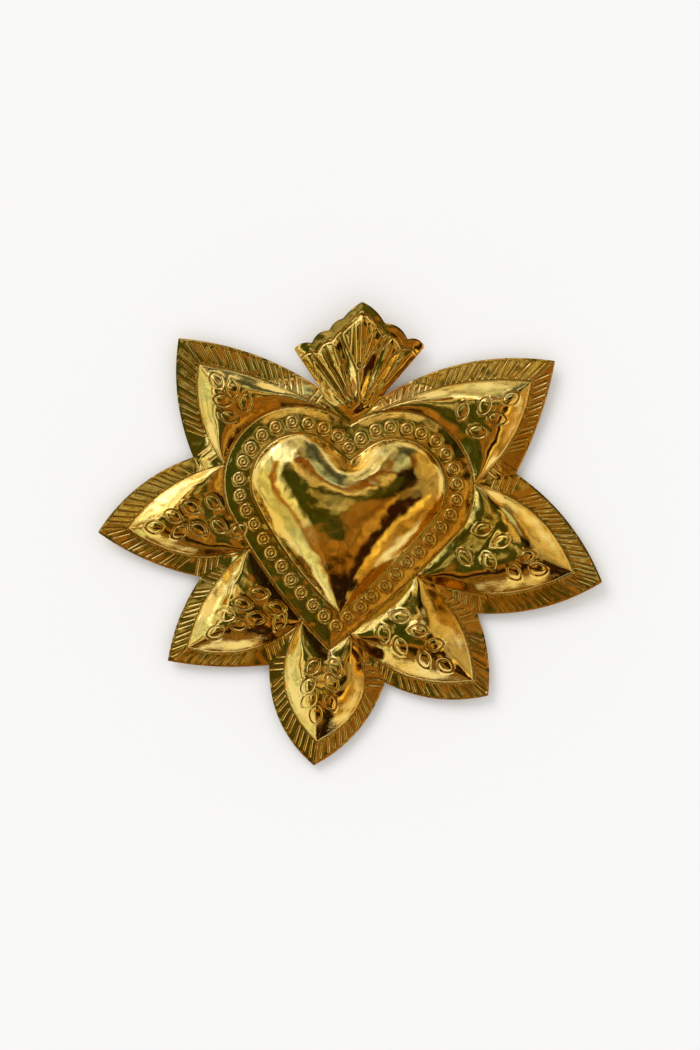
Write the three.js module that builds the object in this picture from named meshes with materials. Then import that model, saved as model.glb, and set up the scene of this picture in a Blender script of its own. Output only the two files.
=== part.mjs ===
// A wall heart of chased brass sheet, with a wire ring behind it that hangs it on a nail.
// Sizes are millimetres. X runs to the viewer's right, Z runs up and the front faces -Y.
// A place on the ornament is [x, z] from between the lobes of the heart. A height is how far the
// back of the sheet stands out from the wall there.
import * as THREE from "three";

// Sheet
const SHEET_THICKNESS = 0.5;
const STEEPEST_STRETCH = 2;

// Heart, drawn along the foot of its dome
const LEFT_LOBE = { centre: [-22, 14.7], radius: 20.4, turn: [50, 205], bulge: 3 };
const RIGHT_LOBE = { centre: [19.9, 15.6], radius: 21.1, turn: [130, -25], bulge: 1.4 };
const HEART_CUSP = [-1, 25];
const HEART_TIP = [0.5, -40.1];
const HEART_TIP_LEAN = 10;
const HEART_MIDDLE = [-0.5, 6];
const DOME_HEIGHT = 16;
const DOME_FULLNESS = 0.95;

// Band round the heart, and the skirt that falls from it to the petals' rims
const BAND_WIDTH = 12.5;
const BAND_INNER_HEIGHT = 6.6;
const BAND_OUTER_HEIGHT = 4.4;
const BAND_CAMBER = 0.7;
const SKIRT_WIDTH = 14;

// Notches, anticlockwise from the crown's left side to its right side. A crease runs in from each
// to its root at the band.
const NOTCHES = [
  { at: [-16.2, 55.7], root: [-13.2, 46.5] },
  { at: [-68.9, 21.4], root: [-55.8, 19.3] },
  { at: [-61, -30.2], root: [-39.4, -14.7] },
  { at: [-28.1, -65.7], root: [-15.5, -45] },
  { at: [22.5, -68.9], root: [6.1, -49.6] },
  { at: [59.8, -35.5], root: [33, -21.9] },
  { at: [71.4, 26.5], root: [53.9, 20.4] },
  { at: [10.1, 54.2], root: [8.6, 47.2] },
];

// Petals between those notches. A tip lies in the direction turn from the heart's middle, at the
// share reach of the longest petal's reach. Bulge is how far the middle of each side stands out
// from a straight line, rim is the width of the flat border and lift is how far the tip is bent
// forward. Fall is how much more gently the leaf falls to the band than to its other borders.
const PETAL_REACH = 115.5;
const PETALS = [
  { turn: 140.1, reach: 0.894, bulge: [4.4, 3.6], rim: 9, lift: 2, fall: 2 },
  { turn: 191, reach: 0.941, bulge: [4.6, 2.6], rim: 8, lift: 3, fall: 2.6 },
  { turn: 225.8, reach: 0.89, bulge: [2.2, 1.6], rim: 7, lift: 1, fall: 1.8 },
  { turn: 267.7, reach: 0.983, bulge: [5.7, 4.7], rim: 6.5, lift: 0, fall: 1.6 },
  { turn: 311.7, reach: 0.888, bulge: [4.2, 2.2], rim: 6.5, lift: 1.5, fall: 1.2 },
  { turn: 348.4, reach: 1, bulge: [4.4, 4.6], rim: 8.5, lift: 3.5, fall: 1.8 },
  { turn: 39.9, reach: 0.953, bulge: [1.9, 7.2], rim: 8, lift: 2.5, fall: 2 },
];
const TIP_RIM_SHARE = 0.85;
const LEAF_SLOPE = 1.2;
const LEAF_SHARPNESS = 2;

// Crown, a fluted fan over the heart: its top edge runs from the right corner to the left one
const CROWN_RIGHT_CORNER = [27, 77.7];
const CROWN_SCALLOPS = [
  { to: [19.3, 80.3], bulge: 1.8 },
  { to: [8.8, 86.4], bulge: 2 },
  { to: [-1.7, 94.8], bulge: 1.2 },
  { to: [-9.3, 86.9], bulge: 0.5 },
  { to: [-14.7, 81.3], bulge: 1 },
  { to: [-21.8, 75.1], bulge: 1.6 },
  { to: [-29.4, 71.8], bulge: 1.3 },
];
const CROWN_APEX = [-2.8, 36];
const CROWN_HALF_ANGLE = 36;
const CROWN_BLEND_ANGLES = [32, 46];
const CROWN_BLEND_REACH = [0, 6];
const CROWN_EDGE_HEIGHT = 2.4;
const CROWN_MIDDLE_HEIGHT = 5.6;
const FLUTE_ROOT = [0.7, 43.8];
const FLUTE_VALLEYS = [-48, -37.5, -28.4, -16.4, -6.5, 3.5, 13.3, 27.9, 39];
const FLUTE_HEIGHT = 1.8;
const FLUTE_START = [2, 14];
const FLUTE_END = [3, 8];

// Hanging ring and its strap, on the back behind the crown, straight above the band's cusp
const RING_RADIUS = 9;
const RING_WIRE = 2;
const RING_SEAM_DEGREES = 3;
const STRAP_WIDTH = 5;
const STRAP_THICKNESS = 0.7;
const STRAP_CLEARANCE = 0.55;
const STRAP_SLIT = 0.3;
const STRAP_TAIL = 13;
const TAIL_ABOVE_BAND = 6;
const STRAP_SHORT_TAIL = 9;
const LOOP_END_DEGREES = 50;
const WALL_GAP = 0.15;
const SOLDER_MARGIN = 2.4;
const SOLDER_EDGE = 0.25;
const SEAT_GAP = 0.3;

// Divisions of the curves
const LOBE_STEPS = 14;
const SIDE_STEPS = 11;
const SCALLOP_STEPS = 4;
const DOME_ROWS = 7;
const BAND_ROWS = 2;
const CREASE_ROWS = 5;
const CROWN_ROWS = 8;
const RIM_COLUMNS = 2;
const LEAF_COLUMNS = 5;
const BORDER_STEPS = 24;
const RIM_SHARES = [0.03, 0.4];
const EASING = 1.5;
const RING_STEPS = 44;
const WIRE_SIDES = 12;
const LOOP_STEPS = 14;
const SOLDER_RINGS = 4;
const SOLDER_STEPS = 24;
const SLOPE_STEP = 0.4;
const ON_EDGE = 1e-9;

const BRASS = new THREE.MeshStandardMaterial({ color: 0xc9952e, roughness: 0.16, metalness: 1 });
const WIRE_BRASS = new THREE.MeshStandardMaterial({ color: 0xb98a34, roughness: 0.3, metalness: 1 });
const SOLDER = new THREE.MeshStandardMaterial({ color: 0x8d8c86, roughness: 0.45, metalness: 1 });

const radians = THREE.MathUtils.degToRad;
const degrees = THREE.MathUtils.radToDeg;
const mix = THREE.MathUtils.lerp;
const smooth = THREE.MathUtils.smoothstep;

function between(a, b, share) {
  return [mix(a[0], b[0], share), mix(a[1], b[1], share)];
}

function distance(a, b) {
  return Math.hypot(a[0] - b[0], a[1] - b[1]);
}

function onCircle(centre, radius, angle) {
  return [centre[0] + radius * Math.cos(radians(angle)), centre[1] + radius * Math.sin(radians(angle))];
}

// Values from one to another in equal steps, without the first
function divided(from, to, steps) {
  return Array.from({ length: steps }, (_, i) => mix(from, to, (i + 1) / steps));
}

// The same, with the steps shorter at the start
function eased(from, to, steps) {
  return divided(0, 1, steps).map((share) => mix(from, to, share ** EASING));
}

// Points of a shallow curve from a to b. Its middle stands out by bulge to the right of the way.
function bowed(a, b, bulge, steps) {
  const length = distance(a, b);
  const right = [(b[1] - a[1]) / length, (a[0] - b[0]) / length];
  return [0, ...divided(0, 1, steps)].map((share) => {
    const rise = 4 * bulge * share * (1 - share);
    const [x, z] = between(a, b, share);
    return [x + right[0] * rise, z + right[1] * rise];
  });
}

// Share of the way from a to b at the place nearest to p
function nearestShare(p, a, b) {
  const way = [b[0] - a[0], b[1] - a[1]];
  const reach = (p[0] - a[0]) * way[0] + (p[1] - a[1]) * way[1];
  return THREE.MathUtils.clamp(reach / (way[0] ** 2 + way[1] ** 2), 0, 1);
}

// The points of a path are numbered from 0. A number with a fraction lies between two of them.
function along(path, number) {
  const i = Math.min(Math.floor(number), path.length - 2);
  return between(path[i], path[i + 1], number - i);
}

function nearestNumber(p, path) {
  const numbers = path.slice(1).map((b, i) => i + nearestShare(p, path[i], b));
  const gaps = numbers.map((number, i) => distance(p, between(path[i], path[i + 1], number - i)));
  return numbers[gaps.indexOf(Math.min(...gaps))];
}

function distanceToPath(p, path) {
  return distance(p, along(path, nearestNumber(p, path)));
}

function isInside(p, outline) {
  let inside = false;
  outline.slice(1).forEach((b, i) => {
    const a = outline[i];
    const crosses = a[1] > p[1] !== b[1] > p[1];
    if (crosses && p[0] < a[0] + ((p[1] - a[1]) * (b[0] - a[0])) / (b[1] - a[1])) inside = !inside;
  });
  return inside;
}

// How deep p lies inside a closed outline: the true distance close to the edge, and a rounded
// value without ridges further in. It is twice the reciprocal of 1 / distance summed over all
// directions, which each edge of the outline adds to in closed form.
function roundedDepth(p, outline) {
  let sum = 0;
  outline.slice(1).forEach((end, i) => {
    const a = [outline[i][0] - p[0], outline[i][1] - p[1]];
    const b = [end[0] - p[0], end[1] - p[1]];
    const [lengthA, lengthB] = [Math.hypot(...a), Math.hypot(...b)];
    const cross = a[0] * b[1] - a[1] * b[0];
    const opening = lengthA * lengthB + a[0] * b[0] + a[1] * b[1];
    sum += opening > ON_EDGE ? (cross / opening) * (1 / lengthA + 1 / lengthB) : Infinity;
  });
  return 2 / Math.abs(sum);
}

// The upper crossing of the two lobes' circles, each grown by grow. Where they don't cross above
// the cusp, the cusp itself, moved up.
function cuspPoint(grow) {
  const [a, b] = [LEFT_LOBE.centre, RIGHT_LOBE.centre];
  const [radiusA, radiusB] = [LEFT_LOBE.radius + grow, RIGHT_LOBE.radius + grow];
  const apart = distance(a, b);
  const reach = (apart ** 2 + radiusA ** 2 - radiusB ** 2) / (2 * apart);
  const rise = Math.sqrt(Math.max(0, radiusA ** 2 - reach ** 2));
  const foot = between(a, b, reach / apart);
  const crossing = [foot[0] - ((b[1] - a[1]) * rise) / apart, foot[1] + ((b[0] - a[0]) * rise) / apart];
  return crossing[1] > HEART_CUSP[1] + grow ? crossing : [HEART_CUSP[0], HEART_CUSP[1] + grow];
}

// One side of the heart, from beside the cusp over the lobe and down to the tip
function halfHeart(lobe, grow, cusp, tip) {
  const side = Math.sign(lobe.turn[1] - lobe.turn[0]);
  const cuspAngle = degrees(Math.atan2(cusp[1] - lobe.centre[1], cusp[0] - lobe.centre[0]));
  const start = side * Math.max(side * lobe.turn[0], side * cuspAngle + 2);
  const arc = [start, ...divided(start, lobe.turn[1], LOBE_STEPS)].map((angle) =>
    onCircle(lobe.centre, lobe.radius + grow, angle),
  );
  return [...arc, ...bowed(arc.at(-1), tip, side * lobe.bulge, LOBE_STEPS).slice(1)];
}

// The heart's closed outline moved outwards by grow, anticlockwise from its cusp
function heartOutline(grow) {
  const halfAngles = [LEFT_LOBE, RIGHT_LOBE].map((lobe) => {
    const foot = onCircle(lobe.centre, lobe.radius, lobe.turn[1]);
    const chord = distance(foot, HEART_TIP);
    return Math.asin(Math.abs(foot[0] - HEART_TIP[0]) / chord) + (4 * lobe.bulge) / chord;
  });
  const drop = grow / Math.sin((halfAngles[0] + halfAngles[1]) / 2);
  const tip = [HEART_TIP[0] - drop * Math.tan(radians(HEART_TIP_LEAN)), HEART_TIP[1] - drop];
  const cusp = cuspPoint(grow);
  const left = halfHeart(LEFT_LOBE, grow, cusp, tip);
  const right = halfHeart(RIGHT_LOBE, grow, cusp, tip);
  return [cusp, ...left, ...right.reverse().slice(1), cusp];
}

const domeFoot = heartOutline(0);
const bandLine = heartOutline(BAND_WIDTH);
const middleDepth = roundedDepth(HEART_MIDDLE, domeFoot);
const tipNumber = (bandLine.length - 1) / 2;

// Each notch with the number of its root on the band's line and with its crease, from root to notch
const notches = NOTCHES.map(({ at, root }) => {
  const number = nearestNumber(root, bandLine);
  const foot = along(bandLine, number);
  return { at, number, foot, crease: eased(0, 1, CREASE_ROWS).map((share) => between(foot, at, share)) };
});

// The raised leaf's two borders, from the roots of the creases to the leaf's own tip. Midway each
// lies a rim's width inside the petal's edge.
function leafBorders(tip, rim, sides, ends) {
  const [a, b] = ends.map((end) => new THREE.Vector2(end[0] - tip[0], end[1] - tip[1]).normalize());
  const inwards = (rim * TIP_RIM_SHARE) / Math.abs(a.cross(b));
  const leafTip = [tip[0] + (a.x + b.x) * inwards, tip[1] + (a.y + b.y) * inwards];
  return sides.map((side, end) => {
    const bulge = distanceToPath(between(side[0], leafTip, 0.5), side) - rim;
    return bowed(side[0], leafTip, end ? -bulge : bulge, BORDER_STEPS);
  });
}

// Each petal between two sides, which run from the band along the creases and on to the tip.
// A corner of the band keeps to the petal's middle.
const petals = PETALS.map((petal, i) => {
  const [from, to] = [notches[i], notches[i + 1]];
  const tip = onCircle(HEART_MIDDLE, PETAL_REACH * petal.reach, petal.turn);
  const rising = bowed(from.at, tip, petal.bulge[0], SIDE_STEPS);
  const falling = bowed(tip, to.at, petal.bulge[1], SIDE_STEPS);
  const hasTip = from.number < tipNumber && tipNumber < to.number;
  const sides = [
    [from.foot, ...from.crease, ...rising.slice(1)],
    [to.foot, ...to.crease, ...falling.reverse().slice(1)],
  ];
  const borders = leafBorders(tip, petal.rim, sides, [from.at, to.at]);
  return {
    ...petal,
    tip,
    root: between(from.at, to.at, 0.5),
    numbers: [from.number, hasTip ? tipNumber : (from.number + to.number) / 2, to.number],
    cornerShare: 0.5,
    sides,
    borders,
    leaf: [HEART_MIDDLE, ...borders[0], ...borders[1].toReversed(), HEART_MIDDLE],
    edge: () => tip,
    shares: (row) => petalShares(petals[i], row),
  };
});

function crownEdge() {
  let from = CROWN_RIGHT_CORNER;
  const points = CROWN_SCALLOPS.flatMap(({ to, bulge }) => {
    const scallop = bowed(from, to, bulge, SCALLOP_STEPS);
    from = to;
    return scallop.slice(0, -1);
  });
  return [...points, from];
}

// The crown in the same terms. Its sides run on to its corners, and its peak stands over the cusp.
function crownSection(top) {
  const [from, to] = [notches.at(-1), notches[0]];
  const steps = top.length - 1;
  const peak = top.reduce((best, p, i) => (p[1] > top[best][1] ? i : best), 0);
  const sideTo = (notch, corner) => divided(0, 1, CROWN_ROWS).map((share) => between(notch.at, corner, share));
  return {
    numbers: [from.number, bandLine.length - 1, bandLine.length - 1 + to.number],
    cornerShare: peak / steps,
    sides: [
      [from.foot, ...from.crease, ...sideTo(from, top[0])],
      [to.foot, ...to.crease, ...sideTo(to, top.at(-1))],
    ],
    edge: (share) => along(top, share * steps),
    shares: () => [0, ...divided(0, 1, steps)],
  };
}

const crownTop = crownEdge();

// How far a petal's leaf stands out from its rim: a soft roof over its borders and the band, whose
// ridges are the sharper the more the nearest border counts
function leafHeight(p, petal, fromBand) {
  if (!isInside(p, petal.leaf)) return 0;
  const margins = [...petal.borders.map((border) => distanceToPath(p, border)), fromBand / petal.fall];
  const sum = margins.reduce((total, margin) => total + margin ** -LEAF_SHARPNESS, 0);
  return LEAF_SLOPE * sum ** (-1 / LEAF_SHARPNESS);
}

// How far the border is bent forward, from nothing between the notches to the lift at the tip
function liftHeight(p, petal) {
  return petal.lift * nearestShare(p, petal.root, petal.tip) ** 2;
}

// How far the way from origin to p leans to the right of upright, in degrees
function lean(p, origin) {
  return degrees(Math.atan2(p[0] - origin[0], p[1] - origin[1]));
}

// The flutes fan out from their root. Each is a rounded fold between two valleys, and all of them
// run out in a plain border along the scallops.
function fluteHeight(p) {
  const angle = lean(p, FLUTE_ROOT);
  const right = FLUTE_VALLEYS.findIndex((valley) => valley > angle);
  if (right < 1) return 0;
  const share = (angle - FLUTE_VALLEYS[right - 1]) / (FLUTE_VALLEYS[right] - FLUTE_VALLEYS[right - 1]);
  const start = smooth(distance(p, FLUTE_ROOT), ...FLUTE_START);
  const fade = start * smooth(distanceToPath(p, crownTop), ...FLUTE_END);
  return FLUTE_HEIGHT * fade * Math.sin(Math.PI * share);
}

// The crown is arched from side to side
function crownHeight(p, fromBand, skirt) {
  const angle = Math.abs(lean(p, CROWN_APEX));
  const aside = Math.min(1, angle / CROWN_HALF_ANGLE);
  const arch = mix(CROWN_MIDDLE_HEIGHT, CROWN_EDGE_HEIGHT, aside ** 3);
  const share = smooth(fromBand, ...CROWN_BLEND_REACH) * (1 - smooth(angle, ...CROWN_BLEND_ANGLES));
  return mix(skirt, arch + fluteHeight(p), share);
}

// How far the back of the sheet stands out from the wall at p, with the petal that p lies in or
// none for the crown
function sheetHeight(p, petal) {
  if (isInside(p, domeFoot)) {
    return BAND_INNER_HEIGHT + DOME_HEIGHT * (roundedDepth(p, domeFoot) / middleDepth) ** DOME_FULLNESS;
  }
  const fromBand = distanceToPath(p, bandLine);
  if (isInside(p, bandLine)) {
    const fromDome = distanceToPath(p, domeFoot);
    const share = fromDome / (fromDome + fromBand);
    return mix(BAND_INNER_HEIGHT, BAND_OUTER_HEIGHT, share) + 4 * BAND_CAMBER * share * (1 - share);
  }
  const skirt = BAND_OUTER_HEIGHT * (1 - smooth(fromBand, 0, SKIRT_WIDTH));
  if (!petal) return crownHeight(p, fromBand, skirt);
  return skirt + leafHeight(p, petal, fromBand) + liftHeight(p, petal);
}

// The sheet keeps its thickness on slopes, so it is thicker along Y there
function thicknessAlongY([x, z], petal) {
  const slopeX = sheetHeight([x + SLOPE_STEP, z], petal) - sheetHeight([x - SLOPE_STEP, z], petal);
  const slopeZ = sheetHeight([x, z + SLOPE_STEP], petal) - sheetHeight([x, z - SLOPE_STEP], petal);
  const stretch = Math.hypot(1, slopeX / (2 * SLOPE_STEP), slopeZ / (2 * SLOPE_STEP));
  return SHEET_THICKNESS * Math.min(stretch, STEEPEST_STRETCH);
}

function bandNumber({ numbers, cornerShare }, share) {
  if (share < cornerShare) return mix(numbers[0], numbers[1], share / cornerShare);
  return mix(numbers[1], numbers[2], (share - cornerShare) / (1 - cornerShare));
}

// The place at a share of the way across one row of a section. The rows next to the band bend
// with it, and the rows beyond the notches bend with the outer edge.
function placeIn(section, row, share) {
  const { sides, edge } = section;
  const last = sides[0].length - 1;
  const across = (line) => between(sides[0][line], sides[1][line], share);
  const foot = along(bandLine, bandNumber(section, share) % (bandLine.length - 1));
  const footShare = Math.max(0, 1 - (row / CREASE_ROWS) ** EASING);
  const edgeShare = Math.max(0, (row - CREASE_ROWS) / (last - CREASE_ROWS));
  return across(row).map((value, i) => {
    return value + footShare * (foot[i] - across(0)[i]) + edgeShare * (edge(share)[i] - across(last)[i]);
  });
}

// Share of the way along a row, from one of its ends, at which the leaf starts
function rimShare(petal, row, end) {
  const shares = divided(...RIM_SHARES, 64);
  const starts = shares.find((share) => isInside(placeIn(petal, row, end ? 1 - share : share), petal.leaf));
  return starts ?? RIM_SHARES[1];
}

// Shares across a petal's row: over one rim, the leaf's two halves and the other rim
function petalShares(petal, row) {
  const [left, right] = [rimShare(petal, row, 0), 1 - rimShare(petal, row, 1)];
  return [
    0,
    ...divided(0, left, RIM_COLUMNS),
    ...eased(left, 0.5, LEAF_COLUMNS),
    ...eased(right, 0.5, LEAF_COLUMNS).reverse().slice(1),
    ...divided(right, 1, RIM_COLUMNS),
  ];
}

// Columns of places over a section, each from the heart's middle over the dome and the band to
// the outer edge. The dome's rows lie closer towards its foot.
function columnsOver(section) {
  const rows = section.sides[0].map((_, row) => section.shares(row));
  return rows[0].map((share, column) => {
    const number = bandNumber(section, share) % (bandLine.length - 1);
    const [foot, band] = [along(domeFoot, number), along(bandLine, number)];
    const dome = [1, ...eased(1, 0, DOME_ROWS)].reverse().map((step) => between(HEART_MIDDLE, foot, step));
    const over = divided(0, 1, BAND_ROWS).slice(0, -1).map((step) => between(foot, band, step));
    const outside = rows.map((shares, row) => placeIn(section, row, shares[column]));
    return [...dome, ...over, ...outside];
  });
}

// Triangles over all sections, as places with their petals and as corner numbers
function sheetMesh() {
  const places = [];
  const numbers = new Map();
  const numberOf = (at, petal) => {
    const key = at.map((value) => value.toFixed(3)).join();
    if (!numbers.has(key)) numbers.set(key, places.push({ at, petal }) - 1);
    return numbers.get(key);
  };
  const triangles = [...petals, crownSection(crownTop)].flatMap((section) => {
    const petal = section.tip ? section : null;
    const columns = columnsOver(section).map((column) => column.map((at) => numberOf(at, petal)));
    return columns.slice(1).flatMap((next, i) => strip(columns[i], next));
  });
  return { places, triangles };
}

// Triangles between two neighbouring columns, which may share places
function strip(column, next) {
  const quads = column.slice(1).flatMap((corner, row) => [
    [column[row], corner, next[row + 1]],
    [column[row], next[row + 1], next[row]],
  ]);
  return quads.filter((corners) => new Set(corners).size === 3);
}

// A closed solid from triangles seen from the front, with the Y of the front and of the back at
// each place. Edges that only one triangle has get a wall.
function solidBetween({ places, triangles }, frontY, backY) {
  const count = places.length;
  const front = places.map((place) => [place.at[0], frontY(place), place.at[1]]);
  const back = places.map((place) => [place.at[0], backY(place), place.at[1]]);
  const key = (a, b) => a * count + b;
  const edges = triangles.flatMap(([a, b, c]) => [[a, b], [b, c], [c, a]]);
  const used = new Set(edges.map(([a, b]) => key(a, b)));
  const walls = edges
    .filter(([a, b]) => !used.has(key(b, a)))
    .flatMap(([a, b]) => [[b, a, a + count], [b, a + count, b + count]]);
  const backs = triangles.map(([a, b, c]) => [a + count, c + count, b + count]);
  const geometry = new THREE.BufferGeometry();
  geometry.setAttribute("position", new THREE.Float32BufferAttribute([...front, ...back].flat(), 3));
  geometry.setIndex([...triangles, ...backs, ...walls].flat());
  geometry.computeVertexNormals();
  return geometry;
}

// The whole front in one sheet: heart, band, petals and crown
function chasedSheet() {
  const back = ({ at, petal }) => -sheetHeight(at, petal);
  return solidBetween(sheetMesh(), (place) => back(place) - thicknessAlongY(place.at, place.petal), back);
}

const [hangerX, cuspZ] = bandLine[0];
const hingeZ = cuspZ + TAIL_ABOVE_BAND + STRAP_TAIL;
const loopRadius = RING_WIRE / 2 + STRAP_CLEARANCE + STRAP_THICKNESS / 2;
const hingeY = -(WALL_GAP + loopRadius + STRAP_THICKNESS / 2);
const tailFaceY = hingeY - loopRadius - STRAP_THICKNESS / 2;

// The strap's middle line seen from the side, as [y, z]: up the long tail, round the ring's wire
// and down the short tail that lies on the long one
function strapLine() {
  const longTailY = hingeY - loopRadius;
  const shortTailY = longTailY + STRAP_THICKNESS + STRAP_SLIT;
  const loop = [180, ...divided(180, -LOOP_END_DEGREES, LOOP_STEPS)].map((angle) =>
    onCircle([hingeY, hingeZ], loopRadius, angle),
  );
  const end = loop.at(-1);
  const slope = 1 / Math.tan(radians(LOOP_END_DEGREES));
  const bend = [shortTailY, end[1] - (end[0] - shortTailY) * slope];
  return [[longTailY, hingeZ - STRAP_TAIL], ...loop, bend, [shortTailY, hingeZ - STRAP_SHORT_TAIL]];
}

// One side of a bent strip, offset from its middle line
function offsetLine(line, offset) {
  return line.map((p, i) => {
    const before = line[Math.max(0, i - 1)];
    const after = line[Math.min(line.length - 1, i + 1)];
    const turnIn = new THREE.Vector2(p[0] - before[0], p[1] - before[1]).normalize();
    const turnOut = new THREE.Vector2(after[0] - p[0], after[1] - p[1]).normalize();
    const middle = turnIn.clone().add(turnOut).normalize();
    const steady = turnIn.lengthSq() > 0 ? turnIn : turnOut;
    const reach = offset / middle.dot(steady);
    return new THREE.Vector2(p[0] + middle.y * reach, p[1] - middle.x * reach);
  });
}

function hangerStrap() {
  const half = STRAP_THICKNESS / 2;
  const outline = [...offsetLine(strapLine(), -half), ...offsetLine(strapLine(), half).reverse()];
  const geometry = new THREE.ExtrudeGeometry(new THREE.Shape(outline), {
    depth: STRAP_WIDTH,
    bevelEnabled: false,
  });
  // The outline's own axes are Y and Z, and it is extruded along X
  geometry.applyMatrix4(new THREE.Matrix4().set(0, 0, 1, 0, 1, 0, 0, 0, 0, 1, 0, 0, 0, 0, 0, 1));
  return geometry.translate(hangerX - STRAP_WIDTH / 2, 0, 0);
}

// The wire bends away from the hinge's line inside the strap, so the line lies midway
const wireSag = RING_RADIUS - Math.sqrt(RING_RADIUS ** 2 - (STRAP_WIDTH / 2) ** 2);
const ringZ = hingeZ + RING_RADIUS - wireSag / 2;

function hangingRing() {
  const seam = radians(RING_SEAM_DEGREES);
  const path = new THREE.Curve();
  path.getPoint = (share) => {
    const turn = seam / 2 + share * (2 * Math.PI - seam);
    return new THREE.Vector3(Math.cos(turn), 0, Math.sin(turn)).multiplyScalar(RING_RADIUS);
  };
  const wire = Array.from({ length: WIRE_SIDES }, (_, i) => {
    return new THREE.Vector2(...onCircle([0, 0], RING_WIRE / 2, (360 * i) / WIRE_SIDES));
  });
  const geometry = new THREE.ExtrudeGeometry(new THREE.Shape(wire), {
    extrudePath: path,
    steps: RING_STEPS,
    bevelEnabled: false,
  });
  return geometry.translate(hangerX, hingeY, ringZ);
}

// The puddle of solder between the strap's long tail and the sheet: it follows the sheet's back,
// bridges the hollows of the flutes, is level under the tail and thins to its edge
function solderPad() {
  const middle = [hangerX, hingeZ - STRAP_TAIL / 2];
  const reach = [STRAP_WIDTH / 2 + SOLDER_MARGIN, STRAP_TAIL / 2 - SOLDER_MARGIN / 2];
  const places = [{ at: middle }];
  const columns = Array.from({ length: SOLDER_STEPS }, (_, i) => {
    const turn = (2 * Math.PI * i) / SOLDER_STEPS;
    const [x, z] = [reach[0] * Math.cos(turn), reach[1] * Math.sin(turn)];
    const rings = divided(0, 1, SOLDER_RINGS).map((share) => {
      return places.push({ at: [middle[0] + x * share, middle[1] + z * share] }) - 1;
    });
    return [0, ...rings];
  });
  const triangles = columns.flatMap((column, i) => strip(column, columns[(i + 1) % columns.length]));
  const front = ({ at }) => SEAT_GAP - sheetHeight(at) + fluteHeight(at);
  const outward = ({ at }) => Math.hypot((at[0] - middle[0]) / reach[0], (at[1] - middle[1]) / reach[1]);
  const back = (place) => mix(tailFaceY, front(place) + SOLDER_EDGE, smooth(outward(place), 0.6, 1));
  return solidBetween({ places, triangles }, front, back);
}

function piece(name, geometry, material) {
  const mesh = new THREE.Mesh(geometry, material);
  mesh.name = name;
  return mesh;
}

// The origin is where the nail leaves the wall: the nail carries the ring's highest inner point
const nailZ = ringZ + RING_RADIUS - RING_WIRE / 2;
const heart = new THREE.Group();
heart.add(
  piece("chased_sheet", chasedSheet(), BRASS),
  piece("hanger_strap", hangerStrap(), BRASS),
  piece("hanging_ring", hangingRing(), WIRE_BRASS),
  piece("solder_pad", solderPad(), SOLDER),
);
heart.position.set(-hangerX, 0, -nailZ);

const part = new THREE.Group();
part.add(heart);

export default part;
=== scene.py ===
# A wall heart of chased brass sheet, photographed straight on against a white wall.
# The sheet's plan is in millimetres, as (x, z) from between the lobes of the heart. A height is
# how far the back of the sheet stands out from the wall. Angles are in degrees.
import math

import bpy
import numpy as np
from mathutils import Matrix, Vector
from mathutils.geometry import delaunay_2d_cdt
from mathutils.kdtree import KDTree

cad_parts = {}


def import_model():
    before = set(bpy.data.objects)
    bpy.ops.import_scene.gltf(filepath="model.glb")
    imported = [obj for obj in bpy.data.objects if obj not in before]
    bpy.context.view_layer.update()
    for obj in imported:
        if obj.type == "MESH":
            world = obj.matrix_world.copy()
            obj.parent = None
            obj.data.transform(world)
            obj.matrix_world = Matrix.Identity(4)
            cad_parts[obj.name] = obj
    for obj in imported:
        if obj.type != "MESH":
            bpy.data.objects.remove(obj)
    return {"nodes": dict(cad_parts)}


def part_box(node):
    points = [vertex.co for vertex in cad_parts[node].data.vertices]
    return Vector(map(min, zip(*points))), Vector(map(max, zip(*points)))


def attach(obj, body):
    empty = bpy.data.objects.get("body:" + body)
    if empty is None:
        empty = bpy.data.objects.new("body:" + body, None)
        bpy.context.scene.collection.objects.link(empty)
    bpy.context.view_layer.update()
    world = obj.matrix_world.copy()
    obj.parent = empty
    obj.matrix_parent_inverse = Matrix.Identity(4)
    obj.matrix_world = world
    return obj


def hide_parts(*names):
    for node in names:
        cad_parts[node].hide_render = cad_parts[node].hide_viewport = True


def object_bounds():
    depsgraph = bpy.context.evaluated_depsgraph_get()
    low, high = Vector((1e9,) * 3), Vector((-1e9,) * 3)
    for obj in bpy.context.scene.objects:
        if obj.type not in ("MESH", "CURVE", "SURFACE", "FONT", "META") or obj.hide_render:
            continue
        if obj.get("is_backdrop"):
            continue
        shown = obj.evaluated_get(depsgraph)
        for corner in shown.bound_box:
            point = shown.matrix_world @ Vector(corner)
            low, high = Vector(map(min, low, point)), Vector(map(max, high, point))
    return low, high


MM = 0.001

# Sheet. On a slope it is deeper from front to back, up to this many times its thickness.
SHEET_THICKNESS = 0.5
STEEPEST_STRETCH = 2

# Heart, drawn along the foot of its dome. Its lobes begin at least a gap away from its cusp.
LEFT_LOBE = {"centre": (-22, 14.7), "radius": 20.4, "turn": (50, 205), "bulge": 3}
RIGHT_LOBE = {"centre": (19.9, 15.6), "radius": 21.1, "turn": (130, -25), "bulge": 1.4}
HEART_CUSP = (-1, 25)
CUSP_GAP = 2
HEART_TIP = (0.5, -40.1)
HEART_TIP_LEAN = 10
HEART_MIDDLE = (-0.5, 6)
DOME_HEIGHT = 16
DOME_FULLNESS = 1.06

# Band round the heart, and the skirt that falls from it to the petals' rims
BAND_WIDTH = 12.5
BAND_INNER_HEIGHT = 6.6
BAND_OUTER_HEIGHT = 4.4
BAND_CAMBER = 0.7
SKIRT_WIDTH = 14

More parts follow.
